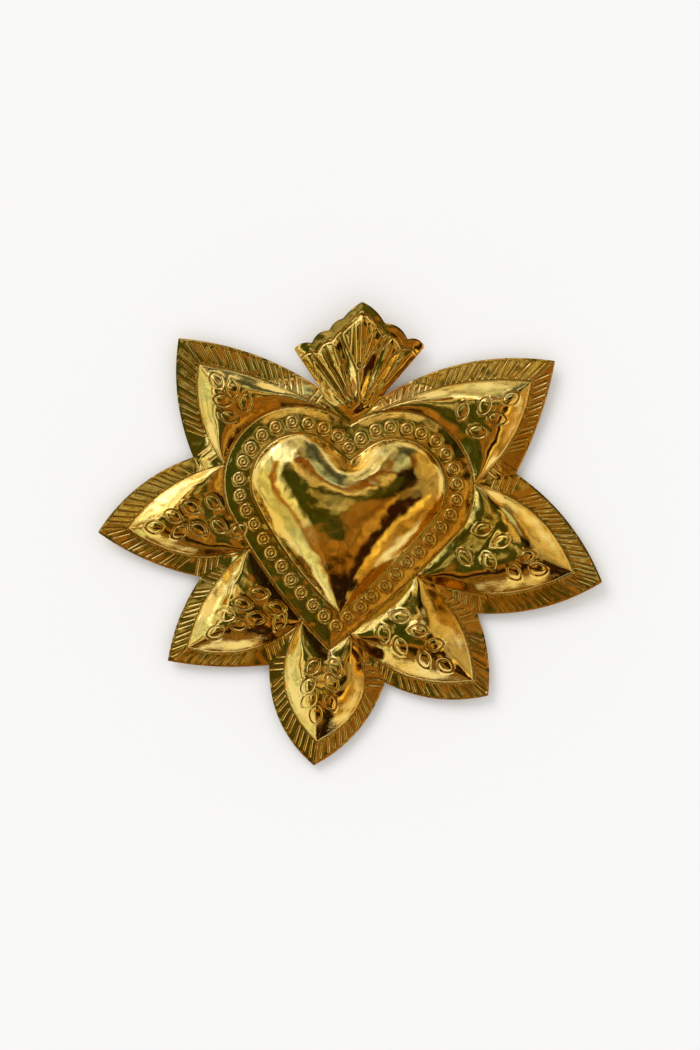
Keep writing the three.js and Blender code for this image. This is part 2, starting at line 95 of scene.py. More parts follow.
# Notches with their roots at the band, anticlockwise from the crown's left side
NOTCHES = [
    ((-16.2, 55.7), (-13.2, 46.5)),
    ((-68.9, 21.4), (-55.8, 19.3)),
    ((-61, -30.2), (-39.4, -14.7)),
    ((-28.1, -65.7), (-15.5, -45)),
    ((22.5, -68.9), (6.1, -49.6)),
    ((59.8, -35.5), (33, -21.9)),
    ((71.4, 26.5), (53.9, 20.4)),
    ((10.1, 54.2), (8.6, 47.2)),
]

# Petals between those notches: direction of the tip from the heart's middle, its share of the
# longest reach, bulge of each side, width of the flat rim, lift of the tip, how much more gently
# the raised leaf falls to the band than to its other borders, and the middles of the eye marks
# on the leaf, from the tip inwards
PETAL_REACH = 115.5
PETALS = [
    {
        "turn": 140.1, "reach": 0.894, "bulge": (4.4, 3.6), "rim": 9, "lift": 2, "fall": 2,
        "eyes": [(-61.5, 55.2), (-54.3, 52.8), (-58.2, 46.8), (-48.2, 47.2), (-55, 40.1)],
    },
    {
        "turn": 191, "reach": 0.941, "bulge": (4.6, 2.6), "rim": 8, "lift": 3, "fall": 2.6,
        "eyes": [
            (-82.6, -10.3), (-75, -4.8), (-71.8, -11.3), (-67.6, -0.2),
            (-63.7, -9.5), (-58.7, 2.7), (-55.2, -7.4), (-46.3, -8.6),
        ],
    },
    {
        "turn": 225.8, "reach": 0.89, "bulge": (2.2, 1.6), "rim": 7, "lift": 1, "fall": 1.8,
        "eyes": [
            (-52.5, -53.4), (-48.8, -45.3), (-42.8, -49.5), (-41.9, -39.9),
            (-35.3, -45.6), (-35.3, -34.9), (-27.4, -40.8), (-25.2, -46.2),
        ],
    },
    {
        "turn": 267.7, "reach": 0.983, "bulge": (5.7, 4.7), "rim": 6.5, "lift": 0, "fall": 1.6,
        "eyes": [
            (-6.1, -85.1), (-9.6, -79.3), (-0.5, -79), (-10.6, -72.9),
            (-0.4, -70.7), (-9.2, -64.5), (0.4, -64.1),
        ],
    },
    {
        "turn": 311.7, "reach": 0.888, "bulge": (4.2, 2.2), "rim": 6.5, "lift": 1.5, "fall": 1.2,
        "eyes": [
            (47.9, -59), (38.6, -57.2), (42.3, -50.4), (27.7, -52.5),
            (34.9, -44.9), (19.9, -47.5), (26.6, -39.5),
        ],
    },
    {
        "turn": 348.4, "reach": 1, "bulge": (4.4, 4.6), "rim": 8.5, "lift": 3.5, "fall": 1.8,
        "eyes": [
            (84.1, -14), (78.8, -8.8), (73.8, -16.2), (67.4, -3.3),
            (62.8, -12.4), (58.8, 1.2), (52, -11.6),
        ],
    },
    {
        "turn": 39.9, "reach": 0.953, "bulge": (1.9, 7.2), "rim": 8, "lift": 2.5, "fall": 2,
        "eyes": [(66, 58.5), (55, 54.5), (60.9, 49.4), (45.6, 51.5), (52.9, 43)],
    },
]

# Raised leaves: the rim before a leaf's tip as a share of the rim at its sides, the slope and
# sharpness of its roof, and the height and reach of the swelling along its borders
TIP_RIM_SHARE = 0.85
LEAF_SLOPE = 1.02
LEAF_SHARPNESS = 3
LEAF_FILLET = (0.3, 1.4)

# Crown, a fluted fan over the heart: its top edge runs from the right corner to the left one
CROWN_RIGHT_CORNER = (27, 77.7)
CROWN_SCALLOPS = [
    ((19.3, 80.3), 1.8),
    ((8.8, 86.4), 2),
    ((-1.7, 94.8), 1.2),
    ((-9.3, 86.9), 0.5),
    ((-14.7, 81.3), 1),
    ((-21.8, 75.1), 1.6),
    ((-29.4, 71.8), 1.3),
]
CROWN_APEX = (-2.8, 36)
CROWN_HALF_ANGLE = 36
CROWN_BLEND_ANGLES = (32, 46)
CROWN_BLEND_REACH = (0, 6)
CROWN_EDGE_HEIGHT = 2.4
CROWN_MIDDLE_HEIGHT = 5.6
FLUTE_ROOT = (0.7, 43.8)
FLUTE_VALLEYS = (-48, -37.5, -28.4, -16.4, 13.3, 27.9, 39)
FLUTE_HEIGHT = 1.9
FLUTE_WIDEST = 29.7
FLUTE_ROUNDNESS = 1.3
FLUTE_START = (5, 15)
FLUTE_END = (3, 8)

# Unevenness that the hammer left: plane waves, with their lengths and their height in all
WAVE_SEED = 3
WAVES = 36
WAVE_LENGTHS = (4, 26)
WAVE_HEIGHT = 0.22
WAVE_GROWTH = 0.8

# The petals' rims and the crown's border fall outwards a little, and the cut edge is rounded
RIM_FALL = 1
RIM_FALL_START = 8
RIM_FALL_WIDTH = 7
RIM_FALL_CURVE = 1.5
EDGE_DROP = 0.25
EDGE_ROUND = (-0.3, 0.9)

# Ring marks along the middle of the band. Their profile is circles, each with a radius, a width
# and a height.
RING_PATH_GROWTH = 5.3
RINGS_PER_SIDE = (19, 20)
RING_AT_CUSP = (0, 0.4)
RING_AT_TIP = (0, 1)
RING_PROFILE = [
    (2.75, 0.3, -0.16),
    (2.25, 0.36, 0.3),
    (1.6, 0.34, -0.3),
    (1, 0.36, 0.32),
    (0.15, 0.5, -0.3),
]
RING_MARGIN = 0.5

# Eye marks on the leaves: a groove, a middle that rises over a shoulder, and outside it a lip with
# its height, its distance and its width
EYE_SIZE = (7.7, 4.9)
EYE_ROUNDNESS = 0.62
EYE_SPREAD = 35
EYE_GROOVE = 0.34
EYE_EDGE = 0.3
EYE_RISE = 0.3
EYE_SHOULDER = 1.3
EYE_LIP = (0.16, 0.75, 0.35)
EYE_MARGIN = 0.8

# Grooves of the chased lines, which are cut piece by piece, and of the strokes on the rims
GROOVE_WIDTH = 0.36
GROOVE_LIP = 0.28
LINE_SPAN = 1.5
LINE_PIECE = 4
LINE_DEPTH = 0.3
BORDER_LINE_DEPTH = 0.24
DOME_LINE_GROWTH = 0.5
DOME_LINE_DEPTH = 0.18
STROKE_SPACING = 2.813
STROKES_SKIPPED = 2
STROKE_SHARE = (0.12, 0.8)
STROKE_ANGLE = 50
STROKE_DEPTH = 0.36
STROKE_START = 0.6
NARROWEST_RIM = 3
CROWN_BORDER = 5.2
CROWN_FOLD_DEPTH = 0.45
CROWN_FOLDS = [
    [(-1.1, 64.6), (-9.5, 79.9), (-1.4, 89.1), (2.2, 89), (9.2, 82), (0.1, 64.6)],
    [(-22.2, 72.1), (-12.8, 61.4), (-5.2, 51.3)],
    [(-16.4, 72.2), (-7.8, 60), (-3.1, 52.9)],
    [(18, 76.3), (12.9, 72.5), (7.3, 60.9), (3, 53.4)],
    [(-1.1, 64.6), (0.2, 55.8), (1.4, 52.4)],
]
CROWN_STROKES = [
    [(-7.3, 79.6), (-4.9, 73.2)],
    [(-5.4, 83.8), (-5.1, 74.9)],
    [(-12.5, 73.8), (-9.5, 67)],
    [(-10.4, 72.2), (-7.9, 66.7)],
    [(-7.7, 68.9), (-5.1, 62.9)],
    [(17.6, 75.1), (15.7, 71)],
    [(15.1, 70.9), (13.4, 66.8)],
    [(13, 66.3), (11.2, 62.1)],
    [(4.8, 84.3), (3, 79.2)],
    [(-20.4, 66.5), (-19, 61.7)],
    [(-17.8, 62.7), (-16.3, 58.8)],
    [(-15.1, 59.8), (-13.2, 56)],
    [(12.3, 80), (9.5, 76.2)],
    [(-3.9, 84.5), (-2.1, 68)],
    [(-1.6, 86), (-0.6, 69)],
    [(1.9, 84.6), (0.9, 67)],
    [(5, 82), (2.7, 72)],
]

# Unevenness of the hand that made the marks: how far places and turns stray, and between which
# shares of their depth the grooves vary
MARK_SEED = 7
RING_SHIFT = 0.25
EYE_TURN = 5
LINE_SHIFT = 0.05
LINE_DEPTHS = (0.9, 1.1)
STROKE_SHIFT = 0.2
STROKE_TURN = 2.5
STROKE_END_SHIFT = 0.03
STROKE_DEPTHS = (0.7, 1.2)

# Points and steps of the plan's curves
LOBE_POINTS = 60
SIDE_STEPS = 40
BORDER_STEPS = 60
SCALLOP_STEPS = 12
EYE_STEPS = 14
OUTLINE_SPACING = 1

# Spacing of the mesh's places, and the gap that each kind keeps from the places before it
EDGE_SPACING = 0.7
EDGE_ROWS = (0.4, 0.85)
EDGE_GAP = 0.25
LINE_SPACING = 0.8
CREASE_GAP = 0.4
GROOVE_ROWS = (-2.2, -1, 0, 1, 2.2)
STROKE_STEP = 0.6
LINE_STEP = 0.7
RING_CIRCLES = 9
RING_STEP = 0.34
RING_SPACING = 0.46
EYE_LAYERS = (0.25, 0.5, 0.7, 0.86, 1, 1.14, 1.3, 1.5)
MARK_GAP = 0.22
ROOT_REACH = 9
ROOT_POINTS = 40
ROOT_SPACING = 0.55
ROOT_GAP = 0.6 * ROOT_SPACING
GRID_SPACING = 1.1
GRID_GAP = 0.55 * GRID_SPACING
SAME_PLACE = 1e-4
INSIDE_ONLY = 1

# Step to the places that give a slope, how many places are measured at a time, and lengths that
# count as nothing
SLOPE_STEP = 0.12
PLACES_AT_ONCE = 20000
TOUCHING = 1e-6
TINY = 1e-9
TINY_SQUARE = 1e-12

# Photograph: the heart's origin on the picture and the picture's size on the wall
PICTURE = (700, 1050)
PICTURE_SCALE = 0.43444
PICTURE_ORIGIN = (347, 520)
PICTURE_ROLL = 5
CAMERA_DISTANCE = 2.2
SENSOR = 36

# Wall, in metres
WALL_HALF = 3
WALL_CORNERS = [(-1, -1), (1, -1), (1, 1), (-1, 1)]
WALL_GAP = 0.004
WALL_COLOUR = (0.86, 0.855, 0.845)
WALL_ROUGHNESS = 0.9

# Light: the key's strength and width in degrees, the way it shines, and the even light
KEY_STRENGTH = 1.1
KEY_WIDTH = 34
KEY_WAY = (0.55, 0.75, -0.6)
WORLD_LEVEL = 0.87
BACKGROUND = (0.945, 0.94, 0.925)

# Metals. Patches are given by the scale and detail of a noise, and by its values where a patch
# begins and where it is full. Of two tones, shares or roughnesses the first is for the ground and
# the second for the patches. Bumps are in metres. First the polished brass:
PALE_BRASS = (0.96, 0.7, 0.21)
DEEP_BRASS = (0.92, 0.57, 0.1)
CLOUDS = (45, 3, 0.35, 0.7)
DULL_PATCHES = (160, 4, 0.4, 0.75)
BRASS_ROUGHNESS = (0.05, 0.12)
SCRATCHES = (420, 3)
SCRATCH_STRETCH = (1, 1, 14)
SCRATCH_TURN = (0, 0.6, 0.3)
SCRATCH_HEIGHT = 0.3
GRAIN = (300, 3)
BRASS_BUMP = 0.00006

# Tarnish in the grooves. It begins at a share of the depth that is tarnished in full.
TARNISH = (0.3, 0.14, 0.03)
TARNISHED_DEPTH = 0.3
TARNISH_START = 0.25
TARNISH_SPECKS = (900, 4, 0.35, 0.75)
TARNISH_SHARES = (0.35, 0.85)
TARNISH_ROUGHNESS = 0.3

# The strap, with streaks along it and stains
STRAP_TONES = [(0.62, 0.44, 0.17), (0.5, 0.33, 0.11)]
STREAKS = (90, 5)
STREAK_STRETCH = (30, 30, 1)
STREAK_LIMITS = (0.3, 0.7)
STAINS = (260, 4, 0.45, 0.7)
STAIN_SHARE = 0.6
STRAP_ROUGHNESS = (0.22, 0.52)
STRAP_BUMP = 0.00005

# The wire, worn up to the nail and down in the strap. The heights are in metres.
WIRE_TONES = [(0.52, 0.35, 0.12), (0.4, 0.24, 0.08)]
MOTTLE = (420, 5, 0.3, 0.7)
WIRE_ROUGHNESS = (0.28, 0.46)
WIRE_BUMP = 0.00003
WORN_BRASS = (0.78, 0.6, 0.27)
WORN_HEIGHTS = [(-0.0035, 0), (-0.0135, -0.017)]
WORN_SHARE = 0.8
WORN_ROUGHNESS = -0.12

# The solder, with flux in the pits between its bumps
SOLDER_TONES = [(0.52, 0.51, 0.48), (0.34, 0.33, 0.31)]
FLOW = (160, 3, 1.5)
FLOW_LIMITS = (0.35, 0.65)
BUMPS = (700, 4, 0.35, 0.5)
FLUX = (0.16, 0.1, 0.05)
FLUX_SHARE = 0.4
SOLDER_METALLIC = 0.9
SOLDER_ROUGHNESS = (0.6, 0.3)
SOLDER_BUMP = 0.00008

# The studio that the metal reflects: a dim room, olive to the left and brown to the right, pale
# behind the wall, uneven all over
WOBBLE = 0.22
WOBBLE_NOISE = (5, 4)
SPOTS = (10, 3, 0.36, 0.62)
SPOT_LEVELS = (0.38, 1.3)
ROOM_LEFT = (0.08, 0.08, 0.02)
ROOM_RIGHT = (0.2, 0.09, 0.02)
ROOM_TURN = (-60, 60)
ROOM_PATCH = (0.24, 0.17, 0.06)
ROOM_PATCHES = (3.1, 2, 0.45, 0.6)
BACK_LOW = (0.75, 0.66, 0.52)
BACK_HIGH = (1.5, 1.45, 1.35)
BACK_RISE = (-0.7, 0.5)
BACK_START = (0.05, 0.3)

# In front of the room are patches, each from one azimuth to another, from one elevation to
# another, with the softness of its edges, and its colour. Azimuth 0 is where the front faces, and
# the viewer's right is positive.
STUDIO_PATCHES = [
    ((0, 30), (-30, 26), 3, (0.31, 0.155, 0.035)),
    ((-26, 1), (4, 22), 3, (0.5, 0.46, 0.27)),
    ((1, 16), (13, 22), 3, (0.08, 0.075, 0.012)),
    ((-30, 0), (-30, 4), 3, (0.06, 0.06, 0.01)),
    ((-46, -26), (-60, 40), 3, (0.055, 0.07, 0.009)),
    ((-58, -46), (-60, 40), 2, (1, 1.1, 1.05)),
    ((-68, -58), (-62, 45), 2, (0.42, 0.18, 0.02)),
    ((-112, -68), (-64, 45), 3, (0.75, 0.84, 0.68)),
    ((-150, -112), (-64, 45), 3, (0.3, 0.3, 0.1)),
    ((28, 40), (-45, 10), 2, (0.6, 0.36, 0.09)),
    ((38, 62), (-62, 0), 3, (0.03, 0.008, 0.003)),
    ((62, 74), (-58, 20), 2, (1.1, 0.8, 0.25)),
    ((74, 135), (-62, 20), 3, (0.5, 0.3, 0.08)),
    ((50, 90), (0, 36), 4, (0.46, 0.36, 0.2)),
    ((16, 52), (14, 44), 3, (0.015, 0.008, 0.003)),
    ((-42, 30), (20, 31), 2, (0.055, 0.06, 0.009)),
    ((-30, 14), (31, 43), 3, (0.85, 0.7, 0.42)),
    ((-45, 14), (45, 62), 3, (0.26, 0.1, 0.015)),
    ((-80, -30), (40, 64), 3, (1.5, 1.65, 2.1)),
    ((-130, -80), (20, 64), 3, (1.6, 1.7, 2.1)),
    ((-112, -84), (41, 57), 4, (3.2, 3.5, 4.8)),
    ((4, 44), (50, 66), 3, (0.55, 0.7, 0.8)),
    ((60, 130), (24, 64), 4, (0.6, 0.46, 0.22)),
    ((-180, 0), (64, 91), 4, (0.6, 0.6, 0.5)),
    ((0, 180), (64, 91), 4, (0.1, 0.12, 0.12)),
    ((-60, 40), (-46, -32), 3, (0.36, 0.17, 0.03)),
    ((-60, 90), (-66, -46), 3, (0.02, 0.008, 0.003)),
    ((-180, 180), (-91, -66), 4, (0.24, 0.13, 0.03)),
]


# ------------------------------ plan


def between(a, b, share):
    share = np.asarray(share, float)[..., None]
    return np.asarray(a) * (1 - share) + np.asarray(b) * share


def smooth(values, low, high):
    share = np.clip((values - low) / (high - low), 0, 1)
    return share * share * (3 - 2 * share)


def on_circle(centre, radius, angles):
    turns = np.radians(angles)
    return np.stack([centre[0] + radius * np.cos(turns), centre[1] + radius * np.sin(turns)], -1)


# Points of a shallow curve from a to b. Its middle stands out by bulge to the right of the way.
def bowed(a, b, bulge, steps):
    a, b = np.array(a, float), np.array(b, float)
    way = b - a
    right = np.array([way[1], -way[0]]) / np.hypot(*way)
    shares = np.linspace(0, 1, steps + 1)
    return between(a, b, shares) + (4 * bulge * shares * (1 - shares))[:, None] * right


# How far along a line each of its points lies
def lengths_along(path):
    return np.concatenate([[0], np.cumsum(np.hypot(*np.diff(path, axis=0).T))])


# The same line with its points an even spacing apart
def respaced(path, spacing):
    lengths = lengths_along(path)
    reached = np.linspace(0, lengths[-1], max(1, round(lengths[-1] / spacing)) + 1)
    return np.stack([np.interp(reached, lengths, path[:, axis]) for axis in (0, 1)], -1)


# Distance from each place to a line, and the share of a way from its start at the nearest point
def nearest_on(places, path):
    starts, ways = path[:-1], np.diff(path, axis=0)
    squares = np.maximum((ways**2).sum(1), TINY_SQUARE)
    lengths = np.concatenate([[0], np.cumsum(np.sqrt(squares))])
    gaps, reached = np.empty(len(places)), np.empty(len(places))
    for first in range(0, len(places), PLACES_AT_ONCE):
        block = slice(first, first + PLACES_AT_ONCE)
        offsets = places[block, None] - starts
        shares = np.clip((offsets * ways).sum(2) / squares, 0, 1)
        squared = ((offsets - shares[..., None] * ways) ** 2).sum(2)
        best = squared.argmin(1)
        rows = np.arange(len(best))
        gaps[block] = np.sqrt(squared[rows, best])
        reached[block] = (lengths[best] + shares[rows, best] * np.sqrt(squares[best])) / lengths[-1]
    return gaps, reached


def distance_to(places, path):
    return nearest_on(places, path)[0]


def point_at(path, share):
    lengths = lengths_along(path)
    return np.array([np.interp(share * lengths[-1], lengths, path[:, axis]) for axis in (0, 1)])


def nearest_point(place, path):
    return point_at(path, nearest_on(np.array([place], float), path)[1][0])


def share_towards(places, start, end):
    way = np.subtract(end, start)
    return np.clip(((places - start) @ way) / (way @ way), 0, 1)


def is_inside(places, outline):
    inside = np.zeros(len(places), bool)
    x, z = places.T
    for a, b in zip(outline[:-1], outline[1:]):
        if a[1] == b[1]:
            continue
        crosses = (a[1] > z) != (b[1] > z)
        inside ^= crosses & (x < a[0] + (z - a[1]) * (b[0] - a[0]) / (b[1] - a[1]))
    return inside


# How deep each place lies inside a closed outline: the true distance close to the edge, and a
# rounded value without ridges further in
def rounded_depth(places, outline):
    total = np.zeros(len(places))
    corners = [corner - places for corner in outline]
    nearest = np.min([np.hypot(*corner.T) for corner in corners], 0)
    for a, b in zip(corners[:-1], corners[1:]):
        length_a, length_b = np.hypot(*a.T) + TINY, np.hypot(*b.T) + TINY
        cross = a[:, 0] * b[:, 1] - a[:, 1] * b[:, 0]
        opening = length_a * length_b + (a * b).sum(1)
        total += cross / np.maximum(opening, TINY) * (1 / length_a + 1 / length_b)
    return np.where(nearest < TOUCHING, 0, 2 / np.maximum(np.abs(total), TINY))


# Upper crossing of the two lobes' circles, each grown by grow, or the cusp itself moved up
def cusp_point(grow):
    a, b = np.array(LEFT_LOBE["centre"]), np.array(RIGHT_LOBE["centre"])
    radius_a, radius_b = LEFT_LOBE["radius"] + grow, RIGHT_LOBE["radius"] + grow
    apart = np.hypot(*(b - a))
    reach = (apart**2 + radius_a**2 - radius_b**2) / (2 * apart)
    rise = math.sqrt(max(0, radius_a**2 - reach**2))
    along = (b - a) / apart
    crossing = a + along * reach + np.array([-along[1], along[0]]) * rise
    cusp = np.array([HEART_CUSP[0], HEART_CUSP[1] + grow])
    return crossing if crossing[1] > cusp[1] else cusp


# One side of the heart, from beside the cusp over the lobe and down to the tip
def half_heart(lobe, grow, cusp, tip):
    start, end = lobe["turn"]
    side = math.copysign(1, end - start)
    offset = cusp - np.array(lobe["centre"])
    cusp_angle = math.degrees(math.atan2(offset[1], offset[0]))
    start = side * max(side * start, side * cusp_angle + CUSP_GAP)
    arc = on_circle(lobe["centre"], lobe["radius"] + grow, np.linspace(start, end, LOBE_POINTS))
    return np.concatenate([arc, bowed(arc[-1], tip, side * lobe["bulge"], SIDE_STEPS)[1:]])


# The heart's closed outline moved outwards by grow, anticlockwise from its cusp
def heart_outline(grow):
    half_angles = []
    for lobe in (LEFT_LOBE, RIGHT_LOBE):
        foot = on_circle(lobe["centre"], lobe["radius"], lobe["turn"][1])
        chord = np.hypot(*(foot - HEART_TIP))
        half_angle = math.asin(abs(foot[0] - HEART_TIP[0]) / chord)
        half_angles.append(half_angle + 4 * lobe["bulge"] / chord)
    drop = grow / math.sin(sum(half_angles) / 2)
    aside = drop * math.tan(math.radians(HEART_TIP_LEAN))
    tip = np.array([HEART_TIP[0] - aside, HEART_TIP[1] - drop])
    cusp = cusp_point(grow)
    left = half_heart(LEFT_LOBE, grow, cusp, tip)
    right = half_heart(RIGHT_LOBE, grow, cusp, tip)
    return np.concatenate([[cusp], left, right[::-1][1:], [cusp]])


DOME_FOOT = heart_outline(0)
BAND_LINE = heart_outline(BAND_WIDTH)
MIDDLE_DEPTH = rounded_depth(np.array([HEART_MIDDLE], float), DOME_FOOT)[0]

# The crease between two petals runs from the band to the notch
CREASES = [np.array([nearest_point(root, BAND_LINE), notch], float) for notch, root in NOTCHES]


def tip_of(petal):
    return on_circle(HEART_MIDDLE, PETAL_REACH * petal["reach"], petal["turn"])


# A petal's two sides, each along its crease and then along the cut edge to the tip
def petal_sides(index):
    petal, (left, right) = PETALS[index], CREASES[index : index + 2]
    rising = bowed(left[1], tip_of(petal), petal["bulge"][0], SIDE_STEPS)
    falling = bowed(tip_of(petal), right[1], petal["bulge"][1], SIDE_STEPS)[::-1]
    return np.concatenate([left[:1], rising]), np.concatenate([right[:1], falling])


def crown_edge():
    start, parts = CROWN_RIGHT_CORNER, []
    for end, bulge in CROWN_SCALLOPS:
        parts.append(bowed(start, end, bulge, SCALLOP_STEPS)[:-1])
        start = end
    return np.concatenate([*parts, [start]])


# The cut edge of the whole sheet, anticlockwise from the crown's left notch
def sheet_outline():
    parts = [np.concatenate([left[1:], right[::-1][1:-1]]) for left, right in SIDES]
    return np.concatenate([*parts, CROWN_TOP, parts[0][:1]])


SIDES = [petal_sides(index) for index in range(len(PETALS))]
CROWN_TOP = crown_edge()
OUTLINE = respaced(sheet_outline(), OUTLINE_SPACING)


# The closed outline from the heart's middle along two lines that start near it and meet
def from_middle(left, right):
    return np.concatenate([[HEART_MIDDLE], left, right[::-1], [HEART_MIDDLE]])


# The petal that each place lies in, or -1 for the crown
def petal_numbers(places):
    numbers = np.full(len(places), -1)
    for index, sides in enumerate(SIDES):
        numbers[is_inside(places, from_middle(*sides))] = index
    crown = np.concatenate([[NOTCHES[-1][0]], CROWN_TOP, [NOTCHES[0][0]]])
    section = np.concatenate([[HEART_MIDDLE], crown, [HEART_MIDDLE]])
    lost = np.nonzero((numbers < 0) & ~is_inside(places, section))[0]
    if len(lost):
        gaps = [np.minimum(*[distance_to(places[lost], side) for side in sides]) for sides in SIDES]
        gaps.append(distance_to(places[lost], crown))
        best = np.argmin(gaps, 0)
        numbers[lost] = np.where(best == len(PETALS), -1, best)
    return numbers


# ------------------------------ heights


# The raised leaf's two borders, from the roots of the creases to the leaf's own tip. Midway each
# lies a rim's width inside the petal's edge.
def leaf_borders(index):
    petal, (left, right) = PETALS[index], SIDES[index]
    tip = tip_of(petal)
    ways = [np.subtract(notch, tip) for notch, _ in NOTCHES[index : index + 2]]
    first, second = [way / np.hypot(*way) for way in ways]
    opening = abs(first[0] * second[1] - first[1] * second[0])
    leaf_tip = tip + (first + second) * petal["rim"] * TIP_RIM_SHARE / opening
    borders = []
    for side, path in ((1, left), (-1, right)):
        middle = between(path[0], leaf_tip, 0.5)
        bulge = distance_to(middle[None], path)[0] - petal["rim"]
        borders.append(bowed(path[0], leaf_tip, bulge * side, BORDER_STEPS))
    return borders


BORDERS = [leaf_borders(index) for index in range(len(PETALS))]


# A soft roof over the leaf's borders and the band, with a low swelling along the borders
def leaf_height(places, index, from_band):
    margins = [distance_to(places, border) for border in BORDERS[index]]
    margins = np.maximum([*margins, from_band / PETALS[index]["fall"]], TOUCHING)
    depth = (margins ** -float(LEAF_SHARPNESS)).sum(0) ** (-1 / LEAF_SHARPNESS)
    rise = np.where(is_inside(places, from_middle(*BORDERS[index])), LEAF_SLOPE * depth, 0)
    height, reach = LEAF_FILLET
    return rise + height * np.exp(-margins[:2].min(0) / reach)


def lift_height(places, index):
    petal = PETALS[index]
    root = between(NOTCHES[index][0], NOTCHES[index + 1][0], 0.5)
    return petal["lift"] * share_towards(places, root, tip_of(petal)) ** 2


# The angle at which each place lies over an origin, 0 straight above it and positive to the right
def lean(places, origin):
    return np.degrees(np.arctan2(places[:, 0] - origin[0], places[:, 1] - origin[1]))


def flute_height(places):
    angles, valleys = lean(places, FLUTE_ROOT), np.array(FLUTE_VALLEYS)
    right = np.clip(np.searchsorted(valleys, angles), 1, len(valleys) - 1)
    widths = valleys[right] - valleys[right - 1]
    shares = np.clip((angles - valleys[right - 1]) / widths, 0, 1)
    ends = smooth(np.hypot(*(places - FLUTE_ROOT).T), *FLUTE_START)
    ends = ends * smooth(distance_to(places, CROWN_TOP), *FLUTE_END)
    heights = FLUTE_HEIGHT * ends * np.sqrt(widths / FLUTE_WIDEST)
    return heights * np.sin(np.pi * shares) ** FLUTE_ROUNDNESS


def crown_height(places, from_band, skirt):
    angles = np.abs(lean(places, CROWN_APEX))
    aside = np.minimum(1, angles / CROWN_HALF_ANGLE)
    arch = CROWN_MIDDLE_HEIGHT + (CROWN_EDGE_HEIGHT - CROWN_MIDDLE_HEIGHT) * aside**3
    share = smooth(from_band, *CROWN_BLEND_REACH) * (1 - smooth(angles, *CROWN_BLEND_ANGLES))
    return skirt + (arch + flute_height(places) - skirt) * share


def dome_height(places):
    share = rounded_depth(places, DOME_FOOT) / MIDDLE_DEPTH
    return BAND_INNER_HEIGHT + DOME_HEIGHT * share**DOME_FULLNESS


def band_height(places):
    from_dome, from_band = distance_to(places, DOME_FOOT), distance_to(places, BAND_LINE)
    share = from_dome / (from_dome + from_band)
    slope = BAND_INNER_HEIGHT + (BAND_OUTER_HEIGHT - BAND_INNER_HEIGHT) * share
    return slope + 4 * BAND_CAMBER * share * (1 - share)


# How far the back of the smooth sheet stands out from the wall
def form_height(places, numbers):
    heights = np.zeros(len(places))
    on_dome = is_inside(places, DOME_FOOT)
    on_band = is_inside(places, BAND_LINE) & ~on_dome
    heights[on_dome] = dome_height(places[on_dome])
    heights[on_band] = band_height(places[on_band])
    outside = ~on_dome & ~on_band
    for index in range(-1, len(PETALS)):
        chosen = outside & (numbers == index)
        here = places[chosen]
        from_band = distance_to(here, BAND_LINE)
        skirt = BAND_OUTER_HEIGHT * (1 - smooth(from_band, 0, SKIRT_WIDTH))
        if index < 0:
            heights[chosen] = crown_height(here, from_band, skirt)
        else:
            heights[chosen] = skirt + leaf_height(here, index, from_band) + lift_height(here, index)
    return heights


# ------------------------------ chasing


# A mark of the punch or chisel: the mesh's places for it, its change of height as a function of
# places, and the square that it reaches
def new_mark(places, margin, shape):
    middle = (places.min(0) + places.max(0)) / 2
    reach = np.abs(places - middle).max() + margin
    return {"middle": middle, "reach": reach, "places": places, "shape": shape}


# A bell that is 1 at 0 and falls off over a width
def bell(gaps, width):
    return np.exp(-((gaps / width) ** 2))


# Across a groove: down to -1 in its middle, between two low lips
def groove_profile(gaps):
    return GROOVE_LIP * bell(gaps - 2 * GROOVE_WIDTH, GROOVE_WIDTH) - bell(gaps, GROOVE_WIDTH)


# Places for the mesh in rows along a groove
def groove_places(along, asides):
    return np.concatenate([along + asides * GROOVE_WIDTH * row for row in GROOVE_ROWS])


# A groove from start to end, deeper towards its end
def stroke(start, end, depth):
    start, end = np.array(start, float), np.array(end, float)
    way, line = end - start, np.array([start, end])

    def shape(places):
        gaps, shares = nearest_on(places, line)
        return depth * (STROKE_START + (1 - STROKE_START) * shares) * groove_profile(gaps)

    aside = np.array([-way[1], way[0]]) / np.hypot(*way)
    shares = np.linspace(0, 1, max(2, round(np.hypot(*way) / STROKE_STEP)) + 1)
    return new_mark(groove_places(between(start, end, shares), aside), 2 * GROOVE_WIDTH, shape)


def ring_mark(middle):
    middle = np.array(middle, float)

    def shape(places):
        radii = np.hypot(*(places - middle).T)
        return sum(height * bell(radii - radius, width) for radius, width, height in RING_PROFILE)

    circles = [[middle]]
    for radius in np.arange(1, RING_CIRCLES + 1) * RING_STEP:
        count = max(6, round(2 * math.pi * radius / RING_SPACING))
        circles.append(on_circle(middle, radius, np.arange(count) * 360 / count))
    return new_mark(np.concatenate(circles), RING_MARGIN, shape)


# An eye-shaped punch mark: a pointed oval groove round a raised middle
def eye_mark(middle, angle):
    turn = math.radians(angle)
    along = np.array([math.cos(turn), math.sin(turn)])
    aside = np.array([-along[1], along[0]])
    half_length, half_width = EYE_SIZE[0] / 2, EYE_SIZE[1] / 2
    shares = np.linspace(0, 1, EYE_STEPS + 1)
    axis = between(-along * half_length, along * half_length, shares)
    swell = half_width * np.sin(np.pi * shares)[:, None] ** EYE_ROUNDNESS * aside
    outline = middle + np.concatenate([axis + swell, (axis - swell)[::-1][1:]])

    def shape(places):
        gaps = distance_to(places, outline)
        height, distance, width = EYE_LIP
        lip, rise = height * bell(gaps - distance, width), EYE_RISE * (1 - bell(gaps, EYE_SHOULDER))
        return np.where(is_inside(places, outline), rise, lip) - EYE_GROOVE * bell(gaps, EYE_EDGE)

    layers = [middle + (outline[:-1] - middle) * scale for scale in EYE_LAYERS]
    return new_mark(np.concatenate([[middle], *layers]), EYE_MARGIN, shape)


